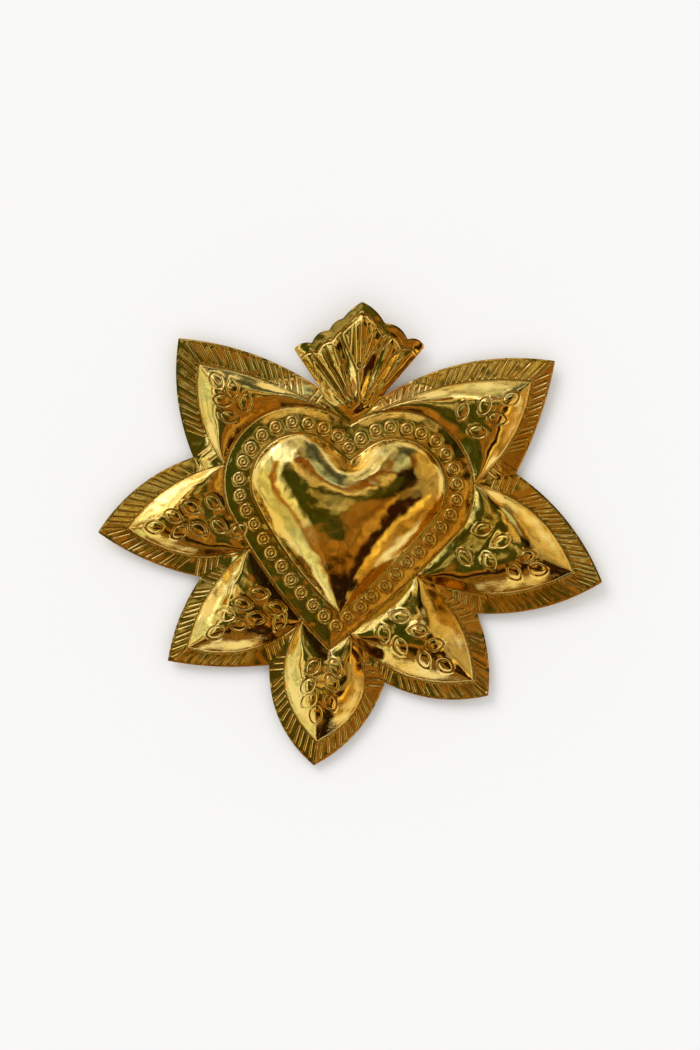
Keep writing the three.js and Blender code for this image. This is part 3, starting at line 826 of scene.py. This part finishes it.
# A piece of a long groove, from one of its points to a later one. Each place is cut by the piece
# that holds the line's nearest point, so the pieces meet without a gap.
def line_piece(points, first, last, depth):
    low, high = max(0, first - 1), min(len(points) - 1, last + 1)
    path = points[low : high + 1]
    lengths = lengths_along(path)
    start = lengths[first - low] / lengths[-1] if first else -1
    end = lengths[last - low] / lengths[-1] if last < len(points) - 1 else 2

    def shape(places):
        gaps, shares = nearest_on(places, path)
        return np.where((shares >= start) & (shares < end), depth * groove_profile(gaps), 0)

    along = respaced(points[first : last + 1], LINE_STEP)
    ways = np.gradient(along, axis=0)
    asides = np.stack([-ways[:, 1], ways[:, 0]], -1) / np.hypot(*ways.T)[:, None]
    return new_mark(groove_places(along, asides), 2 * GROOVE_WIDTH, shape)


# A chased line, in pieces that differ a little in depth
def chased_line(path, depth, rng):
    points = respaced(path, LINE_SPAN)
    points = points + rng.normal(0, LINE_SHIFT, points.shape)
    last = len(points) - 1
    pieces = []
    for first in range(0, last, LINE_PIECE):
        own_depth = depth * rng.uniform(*LINE_DEPTHS)
        pieces.append(line_piece(points, first, min(first + LINE_PIECE, last), own_depth))
    return pieces


def ring_marks(rng):
    path = heart_outline(RING_PATH_GROWTH)
    tip = (len(path) - 1) // 2
    marks = [ring_mark(path[0] + RING_AT_CUSP), ring_mark(path[tip] + RING_AT_TIP)]
    for half, count in zip((path[: tip + 1], path[tip:]), RINGS_PER_SIDE):
        for share in np.arange(1, count + 1) / (count + 1):
            marks.append(ring_mark(point_at(half, share) + rng.normal(0, RING_SHIFT, 2)))
    return marks


# Eye marks stand in two rows that part towards the petal's tip. The one at the tip points to it.
def eye_marks(index, rng):
    petal = PETALS[index]
    root = np.mean(petal["eyes"][-2:], 0)
    way = tip_of(petal) - root
    axis = math.degrees(math.atan2(way[1], way[0]))
    marks = []
    for number, middle in enumerate(petal["eyes"]):
        offset = np.subtract(middle, root)
        side = math.copysign(1, way[0] * offset[1] - way[1] * offset[0]) if number else 0
        marks.append(eye_mark(middle, axis + side * EYE_SPREAD + rng.normal(0, EYE_TURN)))
    return marks


# Strokes along a petal's rims, slanted outwards to its tip
def rim_strokes(index, rng):
    tip, marks = tip_of(PETALS[index]), []
    for edge, border in zip(SIDES[index], BORDERS[index]):
        for point in respaced(border, STROKE_SPACING)[STROKES_SKIPPED:]:
            point = point + rng.normal(0, STROKE_SHIFT, 2)
            gap, share = nearest_on(point[None], edge)
            outward = (point_at(edge, share[0]) - point) / gap[0]
            along = np.array([outward[1], -outward[0]])
            if along @ (tip - point) < 0:
                along = -along
            turn = math.radians(STROKE_ANGLE + rng.normal(0, STROKE_TURN))
            way = (outward * math.sin(turn) + along * math.cos(turn)) * gap[0] / math.sin(turn)
            start, end = np.array(STROKE_SHARE) + rng.normal(0, STROKE_END_SHIFT, 2)
            if gap[0] > NARROWEST_RIM:
                depth = STROKE_DEPTH * rng.uniform(*STROKE_DEPTHS)
                marks.append(stroke(point + way * start, point + way * end, depth))
    return marks


# The crown's border, the folds of its panels and short strokes between them
def crown_lines(rng):
    ways = np.array(FLUTE_ROOT) - CROWN_TOP
    inner = CROWN_TOP + ways / np.hypot(*ways.T)[:, None] * CROWN_BORDER
    marks = chased_line(inner, LINE_DEPTH, rng)
    for fold in CROWN_FOLDS:
        marks += chased_line(np.array(fold), CROWN_FOLD_DEPTH, rng)
    return marks + [stroke(start, end, STROKE_DEPTH) for start, end in CROWN_STROKES]


def all_marks():
    rng = np.random.default_rng(MARK_SEED)
    marks = ring_marks(rng) + crown_lines(rng)
    for index in range(len(PETALS)):
        marks += eye_marks(index, rng) + rim_strokes(index, rng)
        for border in BORDERS[index]:
            marks += chased_line(border, BORDER_LINE_DEPTH, rng)
    marks += chased_line(BAND_LINE, LINE_DEPTH, rng)
    return marks + chased_line(heart_outline(DOME_LINE_GROWTH), DOME_LINE_DEPTH, rng)


MARKS = all_marks()


def chasing(places):
    heights = np.zeros(len(places))
    order = np.argsort(places[:, 0])
    x = places[order, 0]
    for mark in MARKS:
        low, high = np.searchsorted(x, mark["middle"][0] + np.array([-1, 1]) * mark["reach"])
        block = order[low:high]
        near = block[np.abs(places[block, 1] - mark["middle"][1]) < mark["reach"]]
        if len(near):
            heights[near] += mark["shape"](places[near])
    return heights


def waviness(places):
    rng = np.random.default_rng(WAVE_SEED)
    lengths = np.exp(rng.uniform(*np.log(WAVE_LENGTHS), WAVES))
    turns = rng.uniform(0, 2 * math.pi, WAVES)
    starts = rng.uniform(0, 2 * math.pi, WAVES)
    ways = np.stack([np.cos(turns), np.sin(turns)]) * 2 * math.pi / lengths
    heights = (lengths / max(WAVE_LENGTHS)) ** WAVE_GROWTH
    return WAVE_HEIGHT * (np.sin(places @ ways + starts) @ heights) / math.sqrt(WAVES)


# The fall of the rims towards the cut edge, and the edge's rounding
def edge_relief(places):
    depths = distance_to(places, OUTLINE) * np.where(is_inside(places, OUTLINE), 1, -1)
    from_band = np.where(is_inside(places, BAND_LINE), 0, distance_to(places, BAND_LINE))
    share = 1 - np.exp(-((np.maximum(depths, 0) / RIM_FALL_WIDTH) ** RIM_FALL_CURVE))
    fall = RIM_FALL * share * smooth(from_band, 0, RIM_FALL_START)
    return fall - EDGE_DROP * (1 - smooth(depths, *EDGE_ROUND))


def total_height(places, numbers):
    relief = waviness(places) + edge_relief(places) + chasing(places)
    return form_height(places, numbers) + relief


def slopes_at(places, numbers):
    slopes = []
    for step in np.eye(2) * SLOPE_STEP:
        change = total_height(places + step, numbers) - total_height(places - step, numbers)
        slopes.append(change / (2 * SLOPE_STEP))
    return np.stack(slopes, -1)


# ------------------------------ mesh


def hex_grid(outline, spacing):
    low, high = outline.min(0), outline.max(0)
    rows = np.arange(low[1], high[1], spacing * math.sqrt(3) / 2)
    columns = np.arange(low[0], high[0], spacing)
    x, z = np.meshgrid(columns, rows)
    x = x + (np.arange(len(rows)) % 2)[:, None] * spacing / 2
    places = np.stack([x.ravel(), z.ravel()], -1)
    return places[is_inside(places, outline)]


# More places, without those that lie closer than gap to one that is there already
def with_more(places, more, gap):
    tree = KDTree(len(places))
    for number, (x, z) in enumerate(places):
        tree.insert((x, z, 0), number)
    tree.balance()
    free = [tree.find((x, z, 0))[2] >= gap for x, z in more]
    return np.concatenate([places, more[free]])


# Rows of places just inside the cut edge
def edge_rows(outline):
    ways = np.roll(outline, -1, 0) - np.roll(outline, 1, 0)
    inwards = np.stack([-ways[:, 1], ways[:, 0]], -1) / np.hypot(*ways.T)[:, None]
    rows = np.concatenate([outline + inwards * depth for depth in EDGE_ROWS])
    return rows[is_inside(rows, outline)]


# The places and edges of the lines that the mesh follows: three rings, whose last places join
# their first, and the leaves' borders
def guide_lines(outline):
    rings = [outline, *(respaced(ring, LINE_SPACING)[:-1] for ring in (DOME_FOOT, BAND_LINE))]
    lines = [respaced(border, LINE_SPACING) for borders in BORDERS for border in borders]
    edges, start = [], 0
    for number, line in enumerate(rings + lines):
        count = len(line) if number < len(rings) else len(line) - 1
        edges += [(start + i, start + (i + 1) % len(line)) for i in range(count)]
        start += len(line)
    return np.concatenate(rings + lines), edges


def sheet_places():
    outline = respaced(sheet_outline(), EDGE_SPACING)[:-1]
    places, edges = guide_lines(outline)
    marks = np.concatenate([mark["places"] for mark in MARKS])
    places = with_more(places, marks[is_inside(marks, outline)], MARK_GAP)
    places = with_more(places, edge_rows(outline), EDGE_GAP)
    folds = np.concatenate([respaced(crease, LINE_SPACING) for crease in CREASES])
    places = with_more(places, folds, CREASE_GAP)
    for _, root in NOTCHES:
        around = on_circle(root, ROOT_REACH, np.linspace(0, 360, ROOT_POINTS))
        near = hex_grid(around, ROOT_SPACING)
        places = with_more(places, near[is_inside(near, outline)], ROOT_GAP)
    return with_more(places, hex_grid(outline, GRID_SPACING), GRID_GAP), edges


# Places and triangles. All the triangles turn the same way round.
def sheet_mesh():
    places, edges = sheet_places()
    vectors = [Vector(place) for place in places]
    found, _, faces, *_ = delaunay_2d_cdt(vectors, edges, [], INSIDE_ONLY, SAME_PLACE)
    places, faces = np.array([tuple(place) for place in found]), np.array(faces)
    a, b, c = (places[faces[:, corner]] for corner in range(3))
    turn = (b[:, 0] - a[:, 0]) * (c[:, 1] - a[:, 1]) - (b[:, 1] - a[:, 1]) * (c[:, 0] - a[:, 0])
    return places, np.where(turn[:, None] > 0, faces, faces[:, ::-1])


# Front and back triangles, and the narrow walls between them round the cut edge
def solid_faces(faces, count):
    sides = {tuple(side) for pair in ((0, 1), (1, 2), (2, 0)) for side in faces[:, pair].tolist()}
    rim = [(a, b) for a, b in sides if (b, a) not in sides]
    walls = [(b, a, a + count, b + count) for a, b in rim]
    return faces.tolist() + (faces[:, ::-1] + count).tolist() + walls


# Front and back get the height function's own normals. The cut edge stays flat.
def set_normals(mesh, faces, triangles, slopes):
    fronts = -np.stack([slopes[:, 0], np.ones(len(slopes)), slopes[:, 1]], -1)
    fronts /= np.linalg.norm(fronts, axis=1)[:, None]
    normals = np.concatenate([fronts, -fronts])
    normals = normals[np.array([corner for face in faces for corner in face])]
    normals[3 * triangles :] = 0
    mesh.polygons.foreach_set("use_smooth", [number < triangles for number in range(len(faces))])
    mesh.normals_split_custom_set(normals.tolist())


# The sheet's offset in the frame, from the leftmost and the lowest petal tip
def sheet_offset():
    low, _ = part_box("chased_sheet")
    tips = np.array([tip_of(petal) for petal in PETALS])
    return np.array([low.x, low.z]) / MM - tips.min(0)


def make_sheet():
    places, faces = sheet_mesh()
    numbers = petal_numbers(places)
    heights, slopes = total_height(places, numbers), slopes_at(places, numbers)
    stretch = np.minimum(np.hypot(1, np.hypot(*slopes.T)), STEEPEST_STRETCH)
    x, z = (places + sheet_offset()).T
    front = np.stack([x, -heights - SHEET_THICKNESS * stretch, z], -1)
    back = np.stack([x, -heights, z], -1)
    mesh = bpy.data.meshes.new("chased_front")
    all_faces = solid_faces(faces, len(places))
    mesh.from_pydata((np.concatenate([front, back]) * MM).tolist(), [], all_faces)
    set_normals(mesh, all_faces, 2 * len(faces), slopes)
    grooves = np.clip(-chasing(places) / TARNISHED_DEPTH, 0, 1)
    attribute = mesh.attributes.new("groove", "FLOAT", "POINT")
    attribute.data.foreach_set("value", np.concatenate([grooves, np.zeros(len(grooves))]))
    sheet = bpy.data.objects.new("chased_front", mesh)
    bpy.context.scene.collection.objects.link(sheet)
    return sheet


# ------------------------------ materials


# A node tree with small helpers. Those that add nodes return the output of the last one.
class Nodes:
    def __init__(self, tree):
        self.nodes, self.links = tree.nodes, tree.links

    def connect(self, value, socket):
        if isinstance(value, bpy.types.NodeSocket):
            self.links.new(value, socket)
        else:
            socket.default_value = value

    def add(self, kind, inputs=(), output=0, **settings):
        node = self.nodes.new(kind)
        for name, value in settings.items():
            setattr(node, name, value)
        for slot, value in dict(inputs).items():
            self.connect(value, node.inputs[slot])
        return node.outputs[output]

    def math(self, operation, a, b=0.0, c=0.0):
        return self.add("ShaderNodeMath", {0: a, 1: b, 2: c}, operation=operation)

    def vector(self, operation, a, b=(0, 0, 0), scale=1.0, output="Vector"):
        return self.add("ShaderNodeVectorMath", {0: a, 1: b, 3: scale}, output, operation=operation)

    # 0 to 1 as a value goes from low to high
    def ramp(self, value, low, high):
        span = {"Value": value, "From Min": low, "From Max": high}
        return self.add("ShaderNodeMapRange", span, interpolation_type="SMOOTHSTEP")

    # From start to end as a share goes from 0 to 1
    def scaled(self, share, start, end):
        return self.math("MULTIPLY_ADD", share, end - start, start)

    # Each colour is a socket or (red, green, blue)
    def mix(self, share, a, b):
        a, b = (c if isinstance(c, bpy.types.NodeSocket) else (*c, 1) for c in (a, b))
        return self.add("ShaderNodeMix", {0: share, 6: a, 7: b}, 2, data_type="RGBA")

    def noise(self, vector, scale, detail=2.0, distortion=0.0, output=0):
        inputs = {"Vector": vector, "Scale": scale, "Detail": detail, "Distortion": distortion}
        return self.add("ShaderNodeTexNoise", inputs, output)

    # Patches of 1 on a ground of 0
    def patches(self, vector, scale, detail, low, high):
        return self.ramp(self.noise(vector, scale, detail), low, high)

    # Places with each axis scaled by itself, after a turn
    def stretched(self, vector, scale, turn=(0, 0, 0)):
        return self.add("ShaderNodeMapping", {"Vector": vector, "Scale": scale, "Rotation": turn})

    # The metal's values, and a bump of so many metres for a height from 0 to 1
    def finish(self, colour, roughness, height, bump, metallic=1.0):
        shader = self.nodes["Principled BSDF"]
        inputs = {"Height": height, "Distance": bump, "Strength": 1.0}
        values = {"Base Color": colour, "Metallic": metallic, "Roughness": roughness}
        values["Normal"] = self.add("ShaderNodeBump", inputs)
        for name, value in values.items():
            self.connect(value, shader.inputs[name])


def new_material(name):
    material = bpy.data.materials.new(name)
    material.use_nodes = True
    return material, Nodes(material.node_tree)


# A material, its nodes and the place on the object
def new_metal(name):
    material, tree = new_material(name)
    return material, tree, tree.add("ShaderNodeTexCoord", output="Object")


# Polished brass: two tones in clouds, tarnish in the chased grooves, fine scratches
def polished_brass():
    material, tree, place = new_metal("polished_brass")
    groove = tree.add("ShaderNodeAttribute", output="Fac", attribute_name="groove")
    specks = tree.scaled(tree.patches(place, *TARNISH_SPECKS), *TARNISH_SHARES)
    dirt = tree.math("MULTIPLY", tree.ramp(groove, TARNISH_START, 1), specks)
    brass = tree.mix(tree.patches(place, *CLOUDS), PALE_BRASS, DEEP_BRASS)
    colour = tree.mix(dirt, brass, TARNISH)
    roughness = tree.scaled(tree.patches(place, *DULL_PATCHES), *BRASS_ROUGHNESS)
    roughness = tree.math("MULTIPLY_ADD", dirt, TARNISH_ROUGHNESS, roughness)
    scratches = tree.noise(tree.stretched(place, SCRATCH_STRETCH, SCRATCH_TURN), *SCRATCHES)
    height = tree.math("MULTIPLY_ADD", scratches, SCRATCH_HEIGHT, tree.noise(place, *GRAIN))
    tree.finish(colour, roughness, height, BRASS_BUMP)
    return material


# Dull rolled strip: streaks along its length and darker stains
def strap_brass():
    material, tree, place = new_metal("strap_brass")
    streaks = tree.noise(tree.stretched(place, STREAK_STRETCH), *STREAKS)
    brass = tree.mix(tree.ramp(streaks, *STREAK_LIMITS), *STRAP_TONES)
    colour = tree.mix(tree.scaled(tree.patches(place, *STAINS), 0, STAIN_SHARE), brass, TARNISH)
    tree.finish(colour, tree.scaled(streaks, *STRAP_ROUGHNESS), streaks, STRAP_BUMP)
    return material


# Drawn wire, worn bright where it turns in its strap and hangs on its nail
def wire_brass():
    material, tree, place = new_metal("wire_brass")
    mottle = tree.patches(place, *MOTTLE)
    height = tree.add("ShaderNodeSeparateXYZ", {0: place}, "Z")
    worn = tree.math("MAXIMUM", *(tree.ramp(height, *limits) for limits in WORN_HEIGHTS))
    colour = tree.mix(tree.scaled(worn, 0, WORN_SHARE), tree.mix(mottle, *WIRE_TONES), WORN_BRASS)
    roughness = tree.scaled(mottle, *WIRE_ROUGHNESS)
    roughness = tree.math("MULTIPLY_ADD", worn, WORN_ROUGHNESS, roughness)
    tree.finish(colour, roughness, mottle, WIRE_BUMP)
    return material


# Soft solder: grey, pitted and dull, with brown flux in its pits
def soft_solder():
    material, tree, place = new_metal("soft_solder")
    flow, bumps = tree.noise(place, *FLOW), tree.patches(place, *BUMPS)
    solder = tree.mix(tree.ramp(flow, *FLOW_LIMITS), *SOLDER_TONES)
    colour = tree.mix(tree.scaled(bumps, FLUX_SHARE, 0), solder, FLUX)
    roughness, height = tree.scaled(flow, *SOLDER_ROUGHNESS), tree.math("ADD", bumps, flow)
    tree.finish(colour, roughness, height, SOLDER_BUMP, SOLDER_METALLIC)
    return material


# ------------------------------ stage


# The camera looks straight at the wall, at the middle of the picture
def make_camera(offset):
    roll = math.radians(PICTURE_ROLL)
    right, up = (math.cos(roll), 0, math.sin(roll)), (-math.sin(roll), 0, math.cos(roll))
    a = PICTURE[0] / 2 - PICTURE_ORIGIN[0]
    b = PICTURE_ORIGIN[1] - PICTURE[1] / 2
    x = (a * right[0] + b * up[0]) * PICTURE_SCALE + offset[0]
    z = (a * right[2] + b * up[2]) * PICTURE_SCALE + offset[1]
    data = bpy.data.cameras.new("camera")
    data.sensor_width = SENSOR
    data.lens = SENSOR * CAMERA_DISTANCE / (PICTURE[1] * PICTURE_SCALE * MM)
    camera = bpy.data.objects.new("camera", data)
    turn = Matrix((right, up, (0, -1, 0))).transposed().to_4x4()
    camera.matrix_world = Matrix.Translation((x * MM, -CAMERA_DISTANCE, z * MM)) @ turn
    bpy.context.scene.collection.objects.link(camera)
    bpy.context.scene.camera = camera


# Matt white in front, clear from behind
def wall_material():
    material, tree = new_material("wall")
    shader = tree.nodes["Principled BSDF"]
    shader.inputs["Base Color"].default_value = (*WALL_COLOUR, 1)
    shader.inputs["Roughness"].default_value = WALL_ROUGHNESS
    shader.inputs["Specular IOR Level"].default_value = 0
    behind = tree.add("ShaderNodeNewGeometry", output="Backfacing")
    clear = tree.add("ShaderNodeBsdfTransparent")
    surface = tree.add("ShaderNodeMixShader", {0: behind, 1: shader.outputs[0], 2: clear})
    tree.connect(surface, tree.nodes["Material Output"].inputs["Surface"])
    return material


def make_wall():
    mesh = bpy.data.meshes.new("wall")
    corners = [(x * WALL_HALF, WALL_GAP, z * WALL_HALF) for x, z in WALL_CORNERS]
    mesh.from_pydata(corners, [], [(0, 1, 2, 3)])
    wall = bpy.data.objects.new("wall", mesh)
    bpy.context.scene.collection.objects.link(wall)
    mesh.materials.append(wall_material())
    wall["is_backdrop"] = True


def make_light():
    data = bpy.data.lights.new("key", "SUN")
    data.energy = KEY_STRENGTH
    data.angle = math.radians(KEY_WIDTH)
    lamp = bpy.data.objects.new("key", data)
    lamp.visible_glossy = False
    lamp.rotation_euler = Vector(KEY_WAY).to_track_quat("-Z", "Y").to_euler()
    bpy.context.scene.collection.objects.link(lamp)


# 1 where a value lies between two limits, with soft ends
def span_share(tree, value, limits, softness):
    low, high = limits
    rising = tree.ramp(value, low - softness, low + softness)
    return tree.math("MULTIPLY", rising, tree.ramp(value, high + softness, high - softness))


# A direction bent a little, so that what is seen in it has uneven edges
def bent_direction(tree, direction):
    wobble = tree.noise(direction, *WOBBLE_NOISE, output="Color")
    offset = tree.vector("SUBTRACT", wobble, (0.5, 0.5, 0.5))
    bent = tree.vector("ADD", direction, tree.vector("SCALE", offset, scale=WOBBLE))
    return tree.vector("NORMALIZE", bent)


def studio_colour(tree):
    direction = tree.add("ShaderNodeTexCoord", output="Generated")
    bent, ways = bent_direction(tree, direction), ((1, 0, 0), (0, 1, 0), (0, 0, 1), (0, -1, 0))
    right, back, up, ahead = (tree.vector("DOT_PRODUCT", bent, way, output="Value") for way in ways)
    azimuth = tree.math("DEGREES", tree.math("ARCTAN2", right, ahead))
    elevation = tree.math("DEGREES", tree.math("ARCSINE", up))
    colour = tree.mix(tree.ramp(azimuth, *ROOM_TURN), ROOM_LEFT, ROOM_RIGHT)
    colour = tree.mix(tree.patches(direction, *ROOM_PATCHES), colour, ROOM_PATCH)
    for azimuths, elevations, softness, tint in STUDIO_PATCHES:
        across = span_share(tree, azimuth, azimuths, softness)
        share = tree.math("MULTIPLY", across, span_share(tree, elevation, elevations, softness))
        colour = tree.mix(share, colour, tint)
    behind = tree.mix(tree.ramp(up, *BACK_RISE), BACK_LOW, BACK_HIGH)
    colour = tree.mix(tree.ramp(back, *BACK_START), colour, behind)
    level = tree.scaled(tree.patches(direction, *SPOTS), *SPOT_LEVELS)
    return tree.vector("SCALE", colour, scale=level)


# The metal reflects the studio. The wall gets an even light, and the background is white.
def make_world():
    world = bpy.data.worlds.new("studio")
    bpy.context.scene.world = world
    world.use_nodes = True
    tree = Nodes(world.node_tree)
    ray = tree.nodes.new("ShaderNodeLightPath")
    even = tree.mix(ray.outputs["Is Camera Ray"], [WORLD_LEVEL] * 3, BACKGROUND)
    colour = tree.mix(ray.outputs["Is Glossy Ray"], even, studio_colour(tree))
    tree.connect(colour, tree.nodes["Background"].inputs["Color"])


def main():
    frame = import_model()
    cad_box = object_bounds()
    bpy.context.scene.view_settings.view_transform = "Standard"
    sheet = make_sheet()
    sheet.data.materials.append(polished_brass())
    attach(sheet, "plaque")
    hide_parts("chased_sheet")
    finishes = {"hanger_strap": strap_brass, "hanging_ring": wire_brass, "solder_pad": soft_solder}
    for name, finish in finishes.items():
        node = frame["nodes"][name]
        node.data.materials.clear()
        node.data.materials.append(finish())
    make_camera(sheet_offset())
    make_wall()
    make_light()
    make_world()
    boxes = [[list(corner) for corner in box] for box in (cad_box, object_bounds())]


main()
